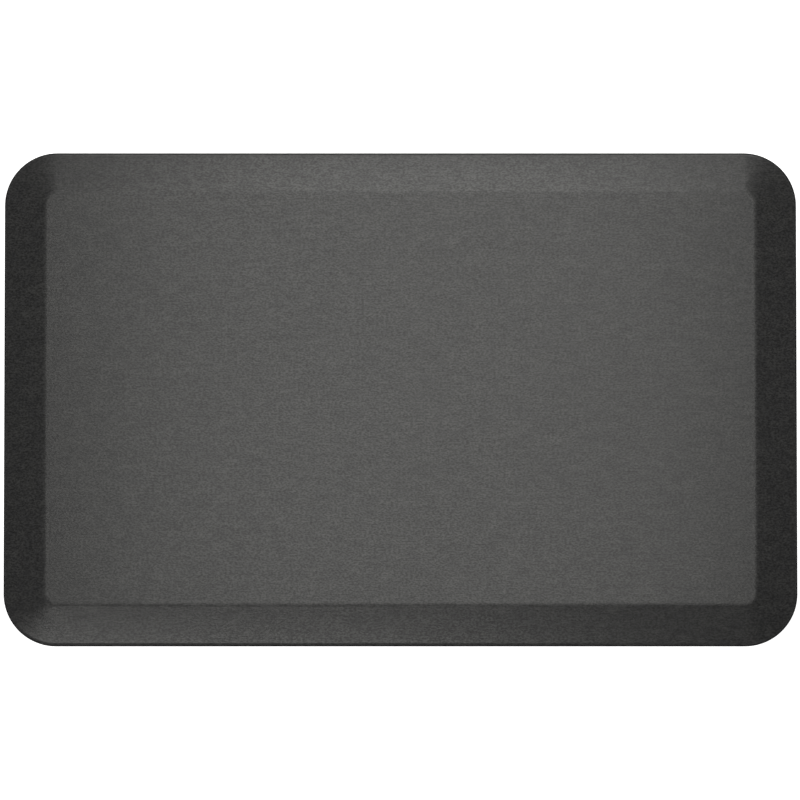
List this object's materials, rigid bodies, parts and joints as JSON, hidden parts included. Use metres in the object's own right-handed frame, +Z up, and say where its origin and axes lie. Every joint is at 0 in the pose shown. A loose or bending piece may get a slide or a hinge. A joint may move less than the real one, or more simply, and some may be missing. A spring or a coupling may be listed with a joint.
{
  "type": "anti-fatigue mat",
  "caption": "Rectangular moulded polyurethane standing mat with rounded corners, a sloping border all round, a fine-grained dark skin and a non-slip underside with low round pads.",
  "frame": {"origin": "middle of the underside, on the floor that the mat lies on", "axes": "+X along the mat's long side, +Y across it towards its far side, +Z up out of the standing surface"},
  "size_m": [0.8128, 0.508, 0.0191],
  "materials": {
    "wear_skin": "matte",
    "cushion_foam": "matte",
    "grip_rubber": "matte"
  },
  "bodies": {
    "root": {"top_skin": "wear_skin", "foam_core": "cushion_foam", "grip_base": "grip_rubber"}
  },
  "joints": []
}
